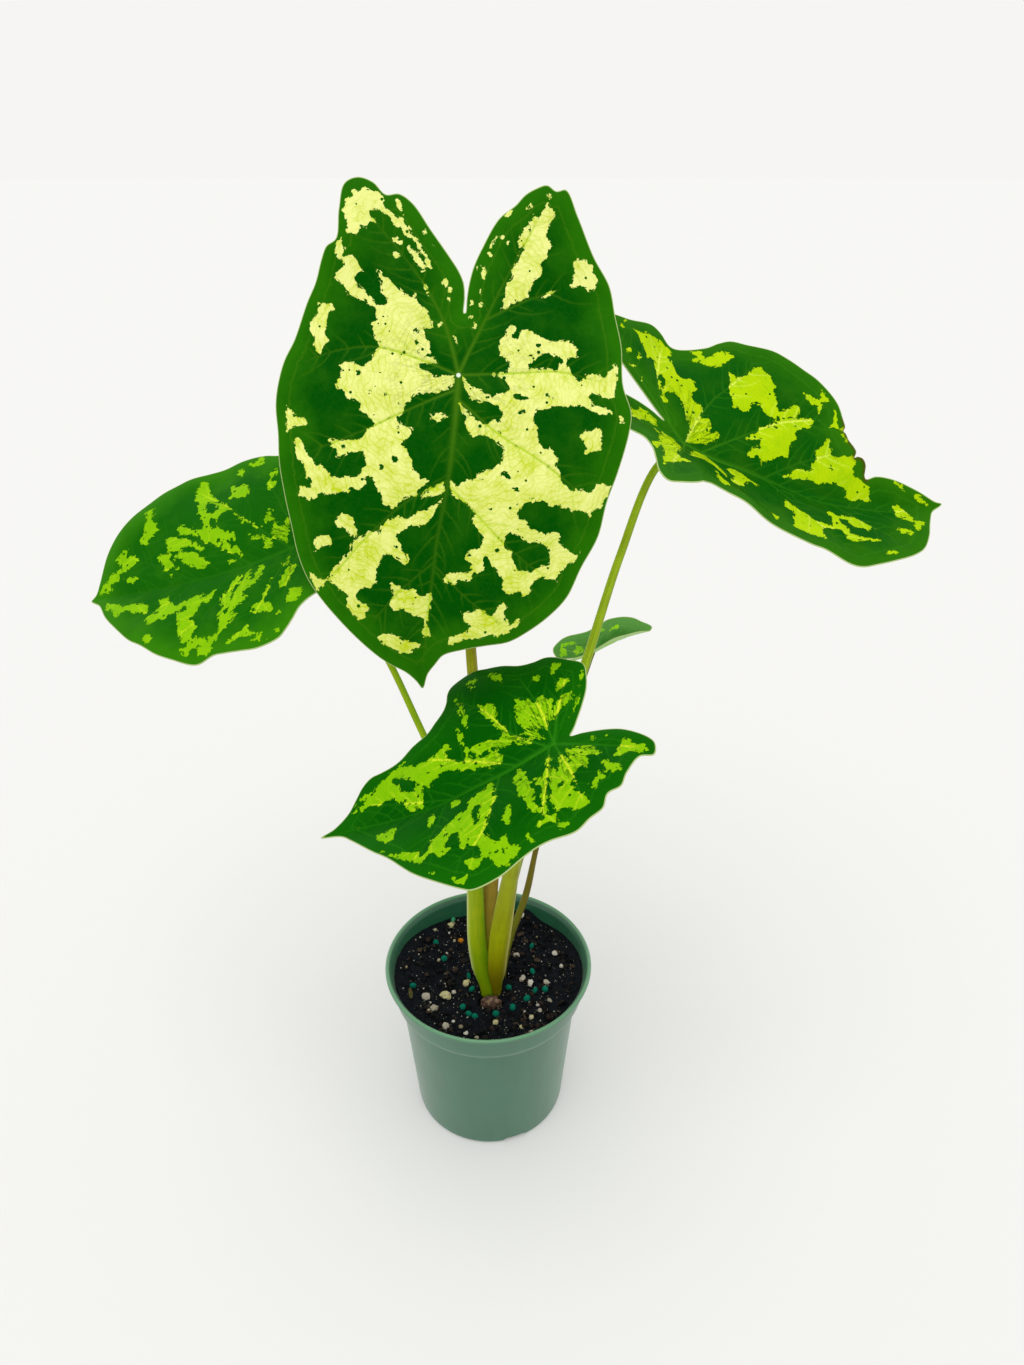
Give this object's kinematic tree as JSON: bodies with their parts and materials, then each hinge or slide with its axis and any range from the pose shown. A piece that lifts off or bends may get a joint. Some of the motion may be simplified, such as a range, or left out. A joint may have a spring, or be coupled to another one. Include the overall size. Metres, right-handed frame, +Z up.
{
  "type": "potted caladium",
  "caption": "variegated arrow-leaved house plant, its leaves on long arching stalks that rise from one crown in a round nursery pot of dark soil",
  "frame": {"origin": "centre of the pot's flat base, where it stands", "axes": "+Z up out of the pot; -Y towards the viewer whom the tallest leaf faces; +X to that viewer's right"},
  "size_m": [0.3419, 0.2054, 0.4318],
  "materials": {
    "pot_plastic": "satin sage-green thermoformed plastic",
    "potting_soil": "damp dark peat mix with pale perlite and teal fertiliser prills",
    "corm_skin": "dry brown corky skin",
    "stalk": "smooth fleshy olive-green stalk, browner at the sheath",
    "young_stalk": "smooth brown-olive stalk",
    "cream_leaf": "satin dark green leaf with cream-yellow patches",
    "lime_leaf": "satin dark green leaf with lime patches"
  },
  "bodies": {
    "root": {"pot": "pot_plastic", "soil": "potting_soil", "corm": "corm_skin", "petiole_tall": "stalk", "petiole_left": "stalk", "petiole_right": "stalk", "petiole_front": "stalk", "petiole_back": "young_stalk", "blade_tall": "cream_leaf", "blade_left": "lime_leaf", "blade_right": "lime_leaf", "blade_front": "lime_leaf", "blade_back": "lime_leaf"}
  },
  "joints": []
}
